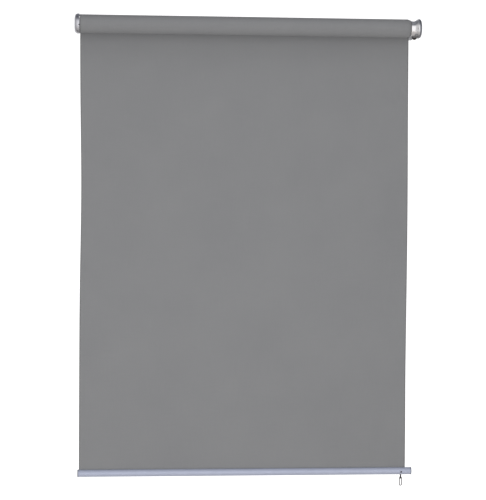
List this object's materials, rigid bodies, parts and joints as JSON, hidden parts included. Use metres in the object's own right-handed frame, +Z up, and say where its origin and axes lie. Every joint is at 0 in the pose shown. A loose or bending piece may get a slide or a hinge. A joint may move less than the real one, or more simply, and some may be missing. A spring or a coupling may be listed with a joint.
{
  "type": "crank-operated roller blind",
  "caption": "Outdoor roller blind with a grey fabric panel on a wound roller, silver end covers with a worm gearbox, a round bottom bar and a snap hook.",
  "frame": {"origin": "centre of the four wall holes, on the wall plane, at the height of the roller axis", "axes": "+X along the roller towards the gearbox, +Y into the wall, +Z up"},
  "size_m": [1.2, 0.0895, 1.6399],
  "materials": {
    "bracket_steel": "zinc-plated, satin",
    "cover_silver": "silver lacquer on die-cast metal, satin to semi-gloss",
    "screw_steel": "zinc-plated",
    "shaft_steel": "turned",
    "spring_steel": "drawn wire",
    "gear_brass": "machined",
    "nylon": "moulded, dark",
    "plug_nylon": "moulded, dark grey",
    "tube_aluminium": "extruded, mill finish",
    "bar_aluminium": "anodised, satin, slightly blue",
    "keder_pvc": "extruded",
    "fabric_grey": "dense plain weave, matt",
    "bar_cap": "moulded, satin, dark blue-grey",
    "eye_dark": "dark, semi-gloss",
    "hook_nickel": "black-nickel-plated"
  },
  "bodies": {
    "wall_fixing": {"left_bracket": "bracket_steel", "left_cover": "cover_silver", "left_cover_screws": "screw_steel", "socket_bush": "nylon", "right_bracket": "bracket_steel", "gearbox_housing": "cover_silver", "gearbox_cover": "cover_silver", "gearbox_screws": "screw_steel", "cover_screws": "screw_steel", "shaft_bush": "nylon", "tail_bush": "nylon", "worm_bush_lower": "nylon", "worm_bush_upper": "nylon", "fabric_panel": "fabric_grey"},
    "roller": {"roller_tube": "tube_aluminium", "tube_keder": "keder_pvc", "fabric_roll": "fabric_grey", "idle_plug": "plug_nylon", "idle_plug_cap": "plug_nylon", "drive_plug": "plug_nylon", "output_shaft": "shaft_steel", "worm_wheel": "gear_brass", "pin_spring": "spring_steel"},
    "idle_pin": {"idle_pin": "shaft_steel"},
    "crank_worm": {"worm": "shaft_steel", "worm_shaft": "shaft_steel"},
    "curtain": {"bottom_bar": "bar_aluminium", "bar_keder": "keder_pvc", "bar_cap_left": "bar_cap", "bar_cap_right": "bar_cap", "eye_bolt": "eye_dark", "eye_screw": "eye_dark"},
    "hook": {"snap_hook": "hook_nickel", "gate_rivet": "screw_steel"},
    "hook_gate": {"snap_gate": "hook_nickel"}
  },
  "joints": [
    {"name": "roller_turn", "type": "hinge", "parent": "wall_fixing", "child": "roller", "pos_m": [0, -0.055, 0], "axis": [1, 0, 0], "range_deg": [0, 2480]},
    {"name": "curtain_lift", "type": "slide", "parent": "wall_fixing", "child": "curtain", "axis": [0, 0, 1], "range_m": [0, 1.5], "deforming": ["fabric_panel"]},
    {"name": "crank_turn", "type": "hinge", "parent": "wall_fixing", "child": "crank_worm", "pos_m": [0.579, -0.0376, -0.00811], "axis": [0, -0.4226, -0.9063], "range_deg": [0, 19850]},
    {"name": "idle_pin_press", "type": "slide", "parent": "roller", "child": "idle_pin", "axis": [1, 0, 0], "range_m": [0, 0.009], "stiffness_N_per_m": 1000, "springref_m": -0.005, "deforming": ["pin_spring"]},
    {"name": "hook_swing", "type": "hinge", "parent": "curtain", "child": "hook", "pos_m": [0.548, -0.0223, -1.5746], "axis": [1, 0, 0], "range_deg": [-80, 80]},
    {"name": "gate_open", "type": "hinge", "parent": "hook", "child": "hook_gate", "pos_m": [0.5518, -0.0223, -1.5819], "axis": [0, 1, 0], "range_deg": [0, 17], "stiffness_Nm_per_rad": 0.02, "springref_deg": -17.19}
  ],
  "couplings": [
    {"joint": "curtain_lift", "follows": "roller_turn", "m_per_rad": 0.03465},
    {"joint": "crank_turn", "follows": "roller_turn", "ratio": 8}
  ]
}
